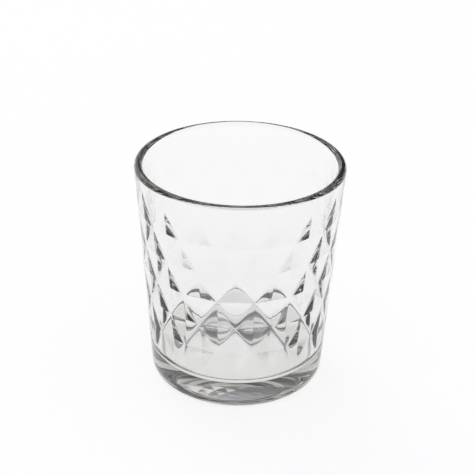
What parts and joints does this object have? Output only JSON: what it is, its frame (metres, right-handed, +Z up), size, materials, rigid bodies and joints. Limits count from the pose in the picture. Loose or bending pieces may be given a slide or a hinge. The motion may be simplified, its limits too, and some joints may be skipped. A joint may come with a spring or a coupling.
{
  "type": "whiskey tumbler",
  "caption": "Short tapered drinking glass with a thick domed foot, a rounded lip and a net of diamond pyramids on the inside wall.",
  "frame": {"origin": "centre of the foot, on the table that the tumbler stands on", "axes": "+Z up along the tumbler's axis, out of its mouth; X and Y are alike, and the middle of a gap between two diamonds of the second row faces -Y"},
  "size_m": [0.0818, 0.0818, 0.092],
  "materials": {
    "glass": "clear soda-lime glass, fire-polished"
  },
  "bodies": {
    "root": {"tumbler": "glass"}
  },
  "joints": []
}
